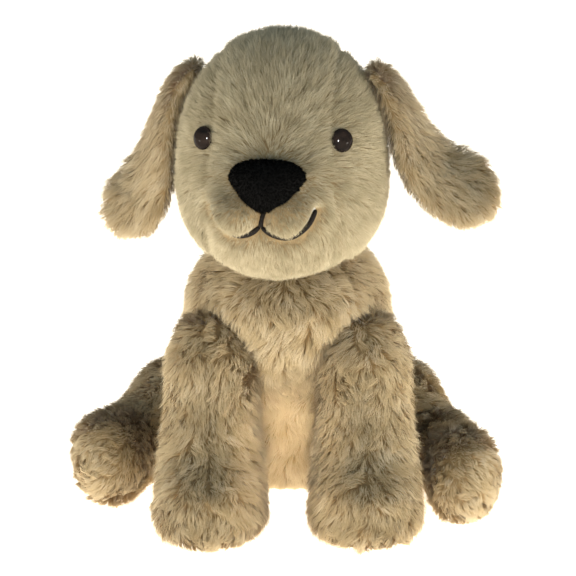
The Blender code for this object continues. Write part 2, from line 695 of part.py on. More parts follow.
def make_ear(material, name, side, frame):
    """Two layers sewn edge to edge, hinged along the root; points run from the root to the tip."""
    stand = EAR_LAYER + 2.2
    root_turn = math.radians(EAR_ROOT_ANGLE)
    heading = np.array([[side * math.sin(root_turn), 0.12, math.cos(root_turn)]])
    heading /= np.linalg.norm(heading)
    root = cast(SKULL, heading, head_distance)[0]
    root = root + surface_normal(head_distance, root) * stand
    ear_frame = add_empty("ear_frame_" + name, root, parent=frame)

    rows = 9
    shares = np.linspace(0, 1, rows)
    flare = np.radians(np.interp(shares, np.linspace(0, 1, 5), EAR_FLARE[name]))
    step = EAR_LENGTH / (rows - 1)
    along = np.stack([side * np.sin(flare), np.zeros(rows), -np.cos(flare)], axis=-1)
    spine = np.vstack([np.zeros(3), np.cumsum((along[1:] + along[:-1]) / 2 * step, axis=0)])
    outward = np.stack([side * np.cos(flare), np.zeros(rows), np.sin(flare)], axis=-1)
    twist = np.radians(EAR_TWIST) * shares ** 1.4
    across = np.cos(twist)[:, None] * np.array([0, 1, 0]) + np.sin(twist)[:, None] * outward
    facing = np.cross(across, along) * -side
    half = EAR_WIDTH / 2 * np.interp(shares, (0, 0.35, 0.7, 0.86, 0.95, 1), (0.66, 0.8, 1, 0.95, 0.7, 0.35))
    places = np.array([-1.0, -0.85, -0.5, 0.0, 0.5, 0.85, 1.0])
    thickness = np.array([0.45, 0.8, 1.0, 1.0, 1.0, 0.8, 0.45])
    root_round = np.interp(shares, (0, 0.04, 1), (0.8, 1, 1))
    middle = spine[:, None, :] + across[:, None, :] * (half[:, None] * places)[..., None]
    lift = facing[:, None, :] * (thickness * root_round[:, None])[..., None]
    fold = facing[:, None, :] * (SEAM / 2)
    for layer, way in (("ear_outer_", 1), ("ear_lining_", -1)):
        solid = shell(middle + way * (fold + lift * EAR_LAYER), middle + way * fold, False)
        slot = "plush" if way > 0 else "lining"
        add_object(layer + name, *solid, material[slot], parent=ear_frame)


# Legs -----------------------------------------------------------------------------------------------------
HAUNCH_WIDTH = 28.0
FEET = {"left": (103.0, -51.0, FOOT_HEIGHT / 2 + 1.0), "right": (99.0, -77.0, FOOT_HEIGHT / 2 - 1.0)}
SOLE_RINGS = (13.0, 20.0, 25.0)        # polar angles of the sole's rings; the last is its seam


def foreleg_masses():
    x, y, z = SHOULDER
    r = FORELEG_RADIUS
    return [
        ((x - 1, y, z), (r - 1, r, r)),
        ((x - 0.5, y - 4, 0.72 * z), (r - 0.5, r - 1, 0.40 * z)),
        ((x, y - 12, 0.43 * z), (r + 1.5, r + 1, 0.36 * z)),
        ((x, y - 23, 0.23 * z), (r + 5.0, r + 12, 0.27 * z)),
    ]


def make_foreleg(material, name, side):
    mirror = np.array([side, 1, 1])

    def add(part, solid, slot):
        points = [np.array(v) * mirror for v in solid[0]]
        pivot = (side * SHOULDER[0], SHOULDER[1], SHOULDER[2])
        return add_object(part + name, points, solid[1], material[slot], pivot)

    centre = (FORELEG_X, SHOULDER[1] - 10.0, 0.58 * SHOULDER[2])
    skin = Skin(lambda p: soft_distance(p, foreleg_masses(), 0.0), centre,
                (0, -12.0, -centre[2]), (1, 0, 0))
    make_limb(add, skin, "foreleg", "paw_sole")
    inset = COVER + FILLING_GAP
    bag = (FORELEG_X, SHOULDER[1] - 19.0, inset)
    sizes = (13.0, 15.0, 15.0)
    cutter = add_cutter("cut_paw_bag_" + name, *ellipsoid(np.array(bag) * mirror, sizes))
    cut(bpy.data.objects["foreleg_stuffing_" + name], cutter)
    add("paw_bean_bag_", bean_bag(bag, [s - 1.0 for s in sizes]), "beans")


def make_limb(add, skin, limb, sole):
    """A limb's covers and filling: an outer and an inner half that meet on two long seams, and a sole."""
    polar = np.array([166, 150, 132, 112, 90, 68, 50, 36, SOLE_RINGS[-1]])
    turns = whole_turn(16, -90.0)
    shift = skin.meridian * SEAM / 2
    outer = skin.half(polar, np.linspace(-90, 90, 9), COVER, -1, shift)
    inner = skin.half(polar, np.linspace(90, 270, 9), COVER, -1, -shift)
    add(limb + "_outer_", outer, "plush")
    add(limb + "_inner_", inner, "plush")
    add(sole + "_", skin.cap(SOLE_RINGS, turns, COVER), "plush")
    rings = np.append(SOLE_RINGS[:-1], polar[::-1])
    return add(limb + "_stuffing_", skin.solid(rings, turns, COVER + FILLING_GAP), "filling")


def make_hindleg(material, name, side):
    mirror = np.array([side, 1, 1])
    haunch, foot = np.array(HAUNCH), np.array(FEET[name])
    half = FOOT_HEIGHT / 2
    masses = [
        (haunch, (HAUNCH_WIDTH, HAUNCH_RADIUS, HAUNCH_RADIUS)),
        ((haunch + foot) / 2 + [6, 0, -3], (0.78 * HAUNCH_WIDTH, 0.75 * HAUNCH_RADIUS, 0.8 * half)),
        (foot, (22.0, 24.0, half)),
    ]

    def add(part, solid, slot):
        points = [np.array(v) * mirror for v in solid[0]]
        pivot = (side * HAUNCH[0], HAUNCH[1], HAUNCH[2])
        return add_object(part + name, points, solid[1], material[slot], pivot)

    along = foot - haunch
    skin = Skin(lambda p: soft_distance(p, masses, 0.0), (haunch + foot) / 2 + [1, 0, 0], along,
                (-along[1], along[0], 0))
    make_limb(add, skin, "hindleg", "foot_sole")


# Tail --------------------------------------------------------------------------------------------------------
def make_tail(material):
    root = np.array(TAIL_ROOT)
    r = TAIL_RADIUS
    masses = [
        (root, (r, r, r)),
        (root + [0, 0.30 * TAIL_LENGTH, 1], (r, 0.36 * TAIL_LENGTH, r)),
        (root + [0, 0.56 * TAIL_LENGTH, 4], (r - 2, 0.36 * TAIL_LENGTH, r - 1)),
    ]
    skin = Skin(lambda p: soft_distance(p, masses), root + [0, 0.4 * TAIL_LENGTH, 2], (0, 1, 0.06),
                (0, 0, 1))
    polar = np.array([166, 152, 136, 112, 88, 64, 44, 28, 14])
    shift = skin.meridian * SEAM / 2
    for name, first, way in (("tail_upper", -90, 1), ("tail_under", 90, -1)):
        turns = np.linspace(first, first + 180, 8)
        vertices, faces = skin.half(polar, turns, COVER, -1, shift * way)
        add_object(name, vertices, faces, material["plush"], TAIL_ROOT)
    filling = skin.solid(polar[::-1], whole_turn(14, -90.0), COVER + FILLING_GAP)
    add_object("tail_stuffing", *filling, material["filling"], TAIL_ROOT)


def main():
    for obj in list(bpy.data.objects):
        bpy.data.objects.remove(obj, do_unlink=True)
    material = make_materials()
    make_torso(material)
    make_head(material)
    for name, side in SIDES:
        make_foreleg(material, name, side)
        make_hindleg(material, name, side)
    make_tail(material)


main()
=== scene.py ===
"""The looks of the seated plush puppy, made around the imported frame: stuffed skins that replace the
plain covers, the pile that stands on them, and the face and small sewn parts.

Points are metres in the frame's own axes: the dog sits on Z = 0 and looks along -Y.
"""

import json
import math

import bpy
import numpy as np
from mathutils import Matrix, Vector
from mathutils.bvhtree import BVHTree
from mathutils.kdtree import KDTree


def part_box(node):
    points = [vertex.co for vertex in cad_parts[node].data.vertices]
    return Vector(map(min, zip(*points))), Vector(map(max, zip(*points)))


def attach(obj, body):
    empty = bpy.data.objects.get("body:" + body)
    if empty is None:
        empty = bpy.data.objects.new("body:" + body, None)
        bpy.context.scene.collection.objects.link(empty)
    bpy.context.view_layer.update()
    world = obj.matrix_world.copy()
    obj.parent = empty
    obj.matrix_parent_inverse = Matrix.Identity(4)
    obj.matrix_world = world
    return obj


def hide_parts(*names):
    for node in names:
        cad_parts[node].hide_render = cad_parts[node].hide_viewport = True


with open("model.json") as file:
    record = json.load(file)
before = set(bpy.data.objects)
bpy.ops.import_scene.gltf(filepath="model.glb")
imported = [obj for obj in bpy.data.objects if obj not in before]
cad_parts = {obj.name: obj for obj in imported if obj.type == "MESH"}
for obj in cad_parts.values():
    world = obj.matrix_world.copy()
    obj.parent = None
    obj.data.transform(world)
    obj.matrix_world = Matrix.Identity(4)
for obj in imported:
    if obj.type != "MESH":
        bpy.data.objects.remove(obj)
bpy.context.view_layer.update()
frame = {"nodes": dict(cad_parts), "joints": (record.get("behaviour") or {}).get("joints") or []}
MM = 0.001
SIDES = (("left", -1), ("right", 1))

# Skins: the body that each rides on, its covers and the filling inside them -----------------------
VOXEL = 4.0 * MM
START_INSIDE = 1.3 * MM      # a skin starts this far inside its covers, and the pressure swells it
SWELL_LIMIT = 2.2 * MM
PRESSURE = 4.0
SIM_FRAMES = 20
FLOOR_CLEARANCE = 1.2 * MM   # the flattened pile between the covers and the floor
RESTS_BELOW = 10 * MM        # a skin that reaches this low rests on the floor

# Pile ---------------------------------------------------------------------------------------------
PILE_DENSITY = 2.5         # strands on each square millimetre of cover
MOST_STRANDS = 66000         # on one cover
STRAND_WIDTH = 0.38 * MM
LEVELS = np.array([0.0, 0.5, 1.0])           # a strand's points, from its root to its tip
TAPER = (1.0, 0.78)
ROOT_DEPTH = 0.5 * MM        # how far the strands start under the surface
TUFT_SPACING = 3.4 * MM      # strands stick together in tufts about this far apart
TUFT_PULL = 0.55
SOFTNESS = 0.65              # how far a strand takes its shading from the surface that it stands on
PAINTED_FLOOR_LIGHT = 0.3            # painted light: the pile is paler low down on the feet, where the glowing floor lights it
PAINTED_FLOOR_LIGHT_HEIGHT = 22 * MM
SEAM_PARTING = 2.5 * MM      # the pile lies shorter this close to a seam
SEAM_LENGTH = 0.62           # and keeps this share of its length on the seam itself
SHORTEST = 0.8 * MM          # where there is no room for a strand this long, there is none
ROOM_REACH = 16 * MM         # how far a strand looks ahead for another skin
ROOM_SHARE = 1.6             # a strand leans, so it may be longer than the room along the normal
ROOM_LEFT = 1.2 * MM
SWIRL = (0.8, 34 * MM)       # how far the lay strays, and over what distance: broad swirls
RIPPLE = (0.55, 12 * MM)     # and finer ones
TUFT_STRAY = {"lay": 0.34, "lean": 0.13, "length": 0.2}      # how tufts differ from one another
STRAND_STRAY = {"lay": 0.22, "lean": 0.10}                   # and strands within a tuft
STRAND_LENGTHS = (0.70, 1.15)                # shares of the pile's length
STRAND_WIDTHS = (0.7, 1.25)
TUFT_PULLS = (0.3, 1.0)
PULL_CURVE = 1.2             # a tuft pulls its strands together more towards their tips
STRAND_TURN = 1.1            # radians that a strand's flat side is turned by, at most
FLAT_ON_FLOOR = (0.15, 0.9)  # where strands lie in the flattened pile, as shares of its height
TINT_PATCH = (0.20, 26 * MM)
TINT_TUFT = 0.12
TINT_STRAND = 0.10
TINT_WIDTH = 0.008           # a strand's width in the pile map

# Studio -------------------------------------------------------------------------------------------
FLOOR_GLOW = (1.0, 0.89, 0.74, 2.0)          # red, green and blue of its light, and the strength
SKY_LOW = (0.48, 0.50, 0.48, 1.0)
SKY_HIGH = (0.20, 0.25, 0.28, 1.0)
SKY = 1.0
KEY = 0.74                   # lights' power in watts
LOW_LIGHTS = {"left": 0.24, "right": 0.36}
BELLY_LIGHT = 0.008
EYE_LIGHT = 80.0
FLOOR_HALF = 15.0
CAMERA_TARGET = (0, -0.075, 0.136)
CAMERA_DISTANCE = 0.95
CAMERA_RISE = math.radians(13)
CAMERA_LENS = 106.8          # millimetres, on a sensor 36 mm wide


# Reading and making meshes ------------------------------------------------------------------------
def points_of(mesh):
    found = np.empty(len(mesh.vertices) * 3)
    mesh.vertices.foreach_get("co", found)
    return found.reshape(-1, 3)


def set_points(mesh, points):
    mesh.vertices.foreach_set("co", np.ascontiguousarray(points, np.float32).ravel())
    mesh.update()


def normals_of(mesh):
    found = np.empty(len(mesh.vertices) * 3)
    mesh.vertex_normals.foreach_get("vector", found)
    return found.reshape(-1, 3)


def edges_of(mesh):
    found = np.empty(len(mesh.edges) * 2, np.int32)
    mesh.edges.foreach_get("vertices", found)
    return found.reshape(-1, 2)


def triangles_of(mesh):
    mesh.calc_loop_triangles()
    found = np.empty(len(mesh.loop_triangles) * 3, np.int32)
    mesh.loop_triangles.foreach_get("vertices", found)
    return found.reshape(-1, 3)


def node_points(node):
    return points_of(frame["nodes"][node].data)


def add_object(name, mesh, material):
    obj = bpy.data.objects.new(name, mesh)
    bpy.context.scene.collection.objects.link(obj)
    mesh.materials.append(material)
    return obj


def mesh_from(name, vertices, faces):
    mesh = bpy.data.meshes.new(name)
    mesh.from_pydata([tuple(v) for v in vertices], [], faces)
    mesh.update()
    mesh.shade_smooth()
    return mesh


def applied(obj):
    """The object's mesh with its modifiers made real."""
    graph = bpy.context.evaluated_depsgraph_get()
    mesh = bpy.data.meshes.new_from_object(obj.evaluated_get(graph))
    obj.modifiers.clear()
    old, obj.data = obj.data, mesh
    bpy.data.meshes.remove(old)
    return mesh


def unit(vectors):
    return vectors / np.maximum(np.linalg.norm(vectors, axis=-1, keepdims=True), 1e-12)


def mixed(a, b, share):
    return a + (b - a) * share


def smooth_step(values, low, high):
    share = np.clip((values - low) / (high - low), 0, 1)
    return share * share * (3 - 2 * share)


def waves(points, wavelength, seed, channels=3):
    """Smooth random values between about -1 and 1 that change over the given distance."""
    rng = np.random.default_rng(seed)
    total = np.zeros((len(points), channels))
    for _ in range(7):
        heading = unit(rng.normal(size=(3, channels))) / wavelength * 2 * math.pi
        heading = heading * rng.uniform(0.6, 1.5, channels)
        total += np.sin(points @ heading + rng.uniform(0, 2 * math.pi, channels))
    return total / 3.2


# Materials ----------------------------------------------------------------------------------------
class Nodes:
    """A node material in the making."""

    def __init__(self, name, roughness, specular=0.3, sheen=0.0):
        self.material = bpy.data.materials.new(name)
        self.material.use_nodes = True
        self.tree = self.material.node_tree
        self.shader = self.tree.nodes["Principled BSDF"]
        self.shader.inputs["Roughness"].default_value = roughness
        self.shader.inputs["Specular IOR Level"].default_value = specular
        self.shader.inputs["Sheen Weight"].default_value = sheen

    def add(self, kind, **inputs):
        node = self.tree.nodes.new("ShaderNode" + kind)
        for name, value in inputs.items():
            node.inputs[name.replace("_", " ")].default_value = value
        return node

    def link(self, output, target):
        self.tree.links.new(output, target)

    def ramp(self, source, stops):
        node = self.add("ValToRGB")
        self.link(source, node.inputs["Fac"])
        elements = node.color_ramp.elements
        while len(elements) < len(stops):
            elements.new(0.5)
        for element, (place, colour) in zip(elements, stops):
            element.position = place
            element.color = (*colour, 1.0)
        return node.outputs["Color"]

    def paint(self, colour):
        self.link(colour, self.shader.inputs["Base Color"])

    def bump(self, height, distance):
        node = self.add("Bump", Strength=1.0, Distance=distance)
        self.link(height, node.inputs["Height"])
        self.link(node.outputs["Normal"], self.shader.inputs["Normal"])

    def noise(self, scale):
        place = self.add("TexCoord")
        node = self.add("TexNoise", Scale=scale, Detail=3.0)
        self.link(place.outputs["Object"], node.inputs["Vector"])
        return node.outputs["Fac"]


PILE_MAP = "OFBake"          # across: the strand's tint; up: from its root to its tip


def pile_material(name, tints, root, roughness=0.85, specular=0.15, sheen=0.25):
    """Colour along each strand from a dark root to its tint, with the tint told by the map; the dark root
    is painted shade deep in the pile.
    """
    made = Nodes(name, roughness, specular=specular, sheen=sheen)
    place = made.add("UVMap")
    place.uv_map = PILE_MAP
    split = made.add("SeparateXYZ")
    made.link(place.outputs["UV"], split.inputs["Vector"])
    tint = made.ramp(split.outputs["X"], list(zip((0.0, 0.5, 1.0), tints)))
    # painted shade: each strand darkens towards its root, where the pile shades itself
    shade = made.ramp(split.outputs["Y"], [(0.0, root), (0.55, (0.86,) * 3), (1.0, (1.0,) * 3)])
    mix = made.add("Mix")
    mix.data_type = "RGBA"
    mix.blend_type = "MULTIPLY"
    mix.inputs["Factor"].default_value = 1.0
    made.link(tint, mix.inputs["A"])
    made.link(shade, mix.inputs["B"])
    made.paint(mix.outputs["Result"])
    return made.material


def cloth_material(name, colour, contrast, scale, height=0.3 * MM, sheen=0.2):
    """A fabric whose colour and surface change a little from place to place."""
    made = Nodes(name, 0.9, specular=0.2, sheen=sheen)
    grain = made.noise(scale)
    dark = tuple(c * (1 - contrast) for c in colour)
    made.paint(made.ramp(grain, [(0.3, dark), (0.7, colour)]))
    made.bump(grain, height)
    return made.material


def thread_material(name, colour, turns_per_metre):
    """Twisted thread: fine slanted bands."""
    made = Nodes(name, 0.75, specular=0.25)
    place = made.add("TexCoord")
    bands = made.add("TexWave", Scale=turns_per_metre, Distortion=1.5)
    bands.bands_direction = "DIAGONAL"
    made.link(place.outputs["Object"], bands.inputs["Vector"])
    made.paint(made.ramp(bands.outputs["Fac"], [(0.0, tuple(c * 0.5 for c in colour)), (1.0, colour)]))
    made.bump(bands.outputs["Fac"], 0.15 * MM)
    return made.material


def eye_material():
    made = Nodes("eye_gloss", 0.10, specular=0.035)
    swirl = made.noise(160.0)
    made.paint(made.ramp(swirl, [(0.3, (0.001, 0.001, 0.001)), (0.75, (0.006, 0.004, 0.003))]))
    return made.material


def moulded_material():
    made = Nodes("washer_moulded", 0.45, specular=0.4)
    grain = made.noise(900.0)
    made.paint(made.ramp(grain, [(0.3, (0.72, 0.72, 0.69)), (0.7, (0.80, 0.80, 0.77))]))
    made.bump(grain, 0.05 * MM)
    return made.material


def label_material():
    """Woven satin ribbon: crossed fine ribs."""
    made = Nodes("label_woven", 0.6, specular=0.35, sheen=0.3)
    place = made.add("TexCoord")
    ribs = []
    for direction in ("X", "Z"):
        wave = made.add("TexWave", Scale=900.0, Distortion=0.4)
        wave.bands_direction = direction
        made.link(place.outputs["Object"], wave.inputs["Vector"])
        ribs.append(wave.outputs["Fac"])
    weave = made.add("Math")
    weave.operation = "MULTIPLY"
    made.link(ribs[0], weave.inputs[0])
    made.link(ribs[1], weave.inputs[1])
    made.paint(made.ramp(weave.outputs["Value"], [(0.0, (0.62, 0.60, 0.55)), (1.0, (0.82, 0.81, 0.77))]))
    made.bump(weave.outputs["Value"], 0.08 * MM)
    return made.material


CREAM = ((0.62, 0.48, 0.27), (0.77, 0.63, 0.40), (0.90, 0.78, 0.56))
# painted shade: the face's cream is darker and greyer than the body's, for the dim cool light on the face
SHADED_FACE_CREAM = ((0.44, 0.38, 0.24), (0.60, 0.52, 0.35), (0.76, 0.69, 0.49))
MATERIALS = {
    # each pile material's third value is its root colour: painted shade deep in the pile
    "cream_plush": pile_material("pile_cream", CREAM, (0.60, 0.43, 0.25)),
    "face_plush": pile_material("pile_face", SHADED_FACE_CREAM, (0.66, 0.56, 0.42)),
    "short_plush": pile_material("pile_lining", CREAM, (0.44, 0.34, 0.25)),
    "velour_pile": pile_material("pile_black", ((0.002,) * 3, (0.003,) * 3, (0.005,) * 3), (0.5,) * 3,
                                 roughness=1.0, specular=0.0, sheen=0.0),
    # the backing's own colour, made darker as painted shade where it shows between the strands and beside
    # the mouth
    "backing": cloth_material("backing_with_painted_shade", (0.40, 0.29, 0.15), 0.25, 260.0),
    "fibre_filling": cloth_material("filling_fibre", (0.86, 0.86, 0.84), 0.12, 180.0, height=1.0 * MM),
    "bean_bag_cloth": cloth_material("bean_bag_cotton", (0.72, 0.70, 0.66), 0.15, 700.0),
    "black_velour": cloth_material("velour_black", (0.003, 0.003, 0.003), 0.4, 900.0, sheen=0.0),
    "black_thread": thread_material("thread_black", (0.012, 0.009, 0.008), 420.0),
    "beige_thread": thread_material("thread_beige", (0.50, 0.40, 0.27), 420.0),
    "gloss_black_eye": eye_material(),
    "white_washer": moulded_material(),
    "woven_label": label_material(),
}


# Skins --------------------------------------------------------------------------------------------
def joined_nodes(name, nodes):
    vertices, faces = [], []
    for node in nodes:
        mesh = frame["nodes"][node].data
        start = len(vertices)
        vertices += [tuple(v.co) for v in mesh.vertices]
        faces += [tuple(start + i for i in p.vertices) for p in mesh.polygons]
    return mesh_from(name, vertices, faces)


def relaxed(mesh, rounds):
    """The mesh's points drawn half way to their neighbours' middle, some times over."""
    points, edges = points_of(mesh), edges_of(mesh)
    both = np.concatenate([edges, edges[:, ::-1]])
    degree = np.maximum(np.bincount(both[:, 0], minlength=len(points)), 1)[:, None]
    for _ in range(rounds):
        total = [np.bincount(both[:, 0], points[both[:, 1], k], len(points)) for k in range(3)]
        points = mixed(points, np.stack(total, 1) / degree, 0.5)
    return points


def largest_part(mesh):
    """The mesh without its loose inner pockets."""
    edges = edges_of(mesh)
    label = np.arange(len(mesh.vertices))
    while True:
        low = np.minimum(label[edges[:, 0]], label[edges[:, 1]])
        new = label.copy()
        np.minimum.at(new, edges[:, 0], low)
        np.minimum.at(new, edges[:, 1], low)
        new = new[new]
        if (new == label).all():
            break
        label = new
    keep = label == np.bincount(label).argmax()
    index = np.cumsum(keep) - 1
    points = points_of(mesh)[keep]
    faces = [tuple(int(index[i]) for i in p.vertices) for p in mesh.polygons if keep[p.vertices[0]]]
    return mesh_from(mesh.name, points, faces)


def inflate(obj):
    """A short cloth simulation under inner pressure, which rounds the skin out as a filling does."""
    start = points_of(obj.data)
    modifier = obj.modifiers.new("Cloth", "CLOTH")
    settings = modifier.settings
    settings.quality = 5
    settings.mass = 0.25
    settings.tension_stiffness = settings.compression_stiffness = 20.0
    settings.shear_stiffness = 12.0
    settings.bending_stiffness = 1.5
    settings.use_pressure = True
    settings.uniform_pressure_force = PRESSURE
    settings.effector_weights.gravity = 0.0
    modifier.collision_settings.use_collision = False
    scene = bpy.context.scene
    for number in range(1, SIM_FRAMES + 1):
        scene.frame_set(number)
    mesh = applied(obj)
    scene.frame_set(1)
    step = points_of(mesh) - start
    size = np.linalg.norm(step, axis=1, keepdims=True)
    set_points(mesh, start + step * np.minimum(1, SWELL_LIMIT / np.maximum(size, 1e-9)))


def make_skin(name, body, covers, filling, material, voxel=VOXEL, rounds=3, inset=START_INSIDE,
              shape=None, fill=0.85):
    """One stuffed skin over the covers and their filling, remeshed, inflated and smoothed."""
    obj = add_object(name, joined_nodes(name, covers + filling), material)
    modifier = obj.modifiers.new("Remesh", "REMESH")
    modifier.mode = "VOXEL"
    modifier.voxel_size = voxel
    mesh = largest_part(applied(obj))
    obj.data = mesh
    mesh.materials.append(material)
    set_points(mesh, relaxed(mesh, rounds))
    set_points(mesh, points_of(mesh) - normals_of(mesh) * inset)
    inflate(obj)
    mesh = obj.data
    modifier = obj.modifiers.new("Subdivision", "SUBSURF")
    modifier.levels = modifier.render_levels = 1
    mesh = applied(obj)
    mesh.shade_smooth()
    if shape:
        set_points(mesh, shape(points_of(mesh), normals_of(mesh)))
    points = points_of(mesh)
    if points[:, 2].min() < RESTS_BELOW:
        points[:, 2] = np.maximum(points[:, 2], FLOOR_CLEARANCE)
        set_points(mesh, points)
    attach(obj, body)
    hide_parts(*covers)
    return obj


# The head's own axes, and what lies on the face ---------------------------------------------------
def eye_axis(name):
    """A safety eye's front point and the direction that it looks in, from its CAD dome and washer."""
    dome, washer = node_points("eye_" + name), node_points("eye_washer_" + name)
    out = unit(dome.mean(0) - washer.mean(0))
    return dome[np.argmax(dome @ out)], out


EYES = {name: eye_axis(name) for name, _ in SIDES}
HEAD_X = EYES["right"][0] - EYES["left"][0]
HEAD_X[2] = 0
HEAD_X = unit(HEAD_X)
HEAD_UP = np.array([0.0, 0.0, 1.0])
HEAD_OUT = np.cross(HEAD_X, HEAD_UP)
NOSE = node_points("nose_pad").mean(0)
EYE_MIDDLE = (EYES["left"][0] + EYES["right"][0]) / 2


def face_place(points):
    """Points across, out of and up the face, from the middle between the eyes."""
    local = points - EYE_MIDDLE
    return np.stack([local @ HEAD_X, local @ HEAD_OUT, local @ HEAD_UP], -1)


LIP_DROP = 43.1 * MM         # the mouth's middle below the middle between the eyes
MOUTH_SHIFT = -3.2 * MM      # and beside it
# The stitched lines, in millimetres across and up from the mouth's middle
SMILE = ((0.4, 0.2), (6.0, -4.2), (13.0, -6.2), (19.0, -4.2), (24.5, 1.2), (27.8, 8.5))
PHILTRUM = ((2.6, 11.0), (1.8, 7.5), (0.8, 4.0), (0.0, 0.0))


def curve_through(route):
    """Points, in metres and about half a millimetre apart, on a curve through points in millimetres."""
    route = np.array(route, float)
    ends = np.vstack([2 * route[0] - route[1], route, 2 * route[-1] - route[-2]])
    made = []
    for a, b, c, d in zip(ends, ends[1:], ends[2:], ends[3:]):
        count = max(int(np.linalg.norm(c - b) / 0.5), 2)
        t = np.linspace(0, 1, count, endpoint=False)[:, None]
        made.append(0.5 * (2 * b + (c - a) * t + (2 * a - 5 * b + 4 * c - d) * t ** 2
                           + (3 * b - a - 3 * c + d) * t ** 3))
    return np.vstack([*made, route[-1:]]) * MM


MOUTH = {"middle": curve_through(PHILTRUM)}
for side_name, way in SIDES:
    MOUTH[side_name] = curve_through([(way * x, z) for x, z in SMILE])
for line in MOUTH.values():
    line += [MOUTH_SHIFT, -LIP_DROP]
MOUTH_POINTS = np.vstack(list(MOUTH.values()))


def mouth_distance(place):
    """Distance across the face from each point to the mouth's nearest line."""
    flat = place[:, [0, 2]]
    return np.sqrt(((flat[:, None, :] - MOUTH_POINTS[None]) ** 2).sum(-1).min(1))


MUZZLE_BACK = -45 * MM       # the muzzle and chin lie forward of this, from the eyes
MUZZLE_HALF_WIDTH = 50 * MM
CREASE = 2.2 * MM            # how deep the stitches pull the muzzle in
CREASE_WIDTH = 3.0 * MM
LIP_PUFF = 8.5 * MM          # how far each upper lip swells beside the philtrum
LIP_MIDDLE = (12.5 * MM, 6.5 * MM)           # across and up from the mouth's middle
LIP_SIZE = (12 * MM, 9 * MM)
LIP_EDGE = 4.5 * MM          # a lip starts to swell at the stitches and is full this far away
CHIN_PUFF = 1.6 * MM
CHIN_DROP = 12 * MM
CHIN_SIZE = (18 * MM, 8 * MM)
EYE_SOCKET = 1.2 * MM
SOCKET_WIDTH = 9 * MM
THREAD_RADIUS = 1.35 * MM
THREAD_RISE = 0.8 * MM       # how far the thread's middle lies in front of the crease


def shape_face(points, normals):
    """The mouth's stitches pull a crease into the muzzle, the lips swell beside it, the eyes sit in."""
    place = face_place(points)
    near = (place[:, 1] > MUZZLE_BACK) & (np.abs(place[:, 0]) < MUZZLE_HALF_WIDTH)
    x, z = place[near, 0], place[near, 2]
    push = np.zeros(len(points))
    gap = mouth_distance(place[near])
    push[near] -= CREASE * np.exp(-(gap / CREASE_WIDTH) ** 2)
    for way in (-1, 1):
        lip = (way * LIP_MIDDLE[0] + MOUTH_SHIFT, -LIP_DROP + LIP_MIDDLE[1])
        reach = np.hypot((x - lip[0]) / LIP_SIZE[0], (z - lip[1]) / LIP_SIZE[1])
        push[near] += LIP_PUFF * np.exp(-reach ** 2) * smooth_step(gap, 0.0, LIP_EDGE)
    reach = np.hypot((x - MOUTH_SHIFT) / CHIN_SIZE[0], (z + LIP_DROP + CHIN_DROP) / CHIN_SIZE[1])
    push[near] += CHIN_PUFF * np.exp(-reach ** 2)
    for apex, _ in EYES.values():
        push -= EYE_SOCKET * np.exp(-(np.linalg.norm(points - apex, axis=1) / SOCKET_WIDTH) ** 2)
    return points + normals * push[:, None]


SETTLED = 5.0 * MM           # how far a foot's stuffing spreads where it rests on the floor
SETTLED_HEIGHTS = (3 * MM, 24 * MM)          # it spreads in full below the first, not above the second


def settle(points, normals):
    """The lower edge of a foot spreads under the weight on it."""
    level = normals * [1, 1, 0]
    share = 1 - smooth_step(points[:, 2], *SETTLED_HEIGHTS)
    return points + level * (SETTLED * share)[:, None]


# Pile ---------------------------------------------------------------------------------------------
def towards(target):
    """A lay of the pile that runs away from a point."""
    target = np.array(target)
    return lambda points, normals: unit(points - target)


def steady(direction, spread=0.0):
    """A lay of the pile in one direction, fanning out sideways."""
    direction = np.array(direction, float)

    def lay(points, normals):
        flow = np.broadcast_to(direction, points.shape).copy()
        flow[:, 0] += spread * np.tanh(points[:, 0] / (20 * MM))
        return unit(flow)
    return lay


FLOOR_LAY = 0.35             # the share of its own lay that the pile keeps on the floor
FLOOR_LAY_HEIGHTS = (4 * MM, 30 * MM)


def onto_floor(lay, middle):
    """A lay that turns outwards from the middle of a foot where the pile nears the floor."""
    middle = np.array(middle)

    def turned(points, normals):
        out = points - middle
        out[:, 2] = 0
        share = mixed(FLOOR_LAY, 1.0, smooth_step(points[:, 2], *FLOOR_LAY_HEIGHTS))[:, None]
        return unit(mixed(unit(out), lay(points, normals), share))
    return turned


def blended(*parts):
    """A sum of lays, each with its share."""
    return lambda points, normals: unit(sum(lay(points, normals) * share for share, lay in parts))


class Ground:
    """A skin as the pile sees it: where its covers lie, its seams, and its room to the neighbours."""

    def __init__(self, obj, covers):
        mesh = obj.data
        self.points, self.normals = points_of(mesh), normals_of(mesh)
        self.triangles = triangles_of(mesh)
        self.covers = covers
        trees = [BVHTree.FromPolygons([v.co for v in frame["nodes"][c].data.vertices],
                                      [p.vertices for p in frame["nodes"][c].data.polygons])
                 for c in covers]
        gaps = np.array([[tree.find_nearest(p)[3] for tree in trees]
                         for p in map(Vector, self.points)])
        self.owner = gaps.argmin(1)
        ordered = np.sort(gaps, axis=1)
        self.seam = ordered[:, 1] - ordered[:, 0] if len(covers) > 1 else np.full(len(gaps), 1.0)

    def find_room(self, others, reach):
        """How far each point can look along its normal before it meets another skin."""
        vertices, faces = [], []
        for other in others:
            faces.append(other.triangles + sum(len(v) for v in vertices))
            vertices.append(other.points)
        tree = BVHTree.FromPolygons(np.vstack(vertices).tolist(), np.vstack(faces).tolist())
        room = np.full(len(self.points), reach)
        for i, (point, normal) in enumerate(zip(self.points, self.normals)):
            hit = tree.ray_cast(Vector(point), Vector(normal), reach)
            if hit[3] is not None:
                room[i] = hit[3]
        self.room = room


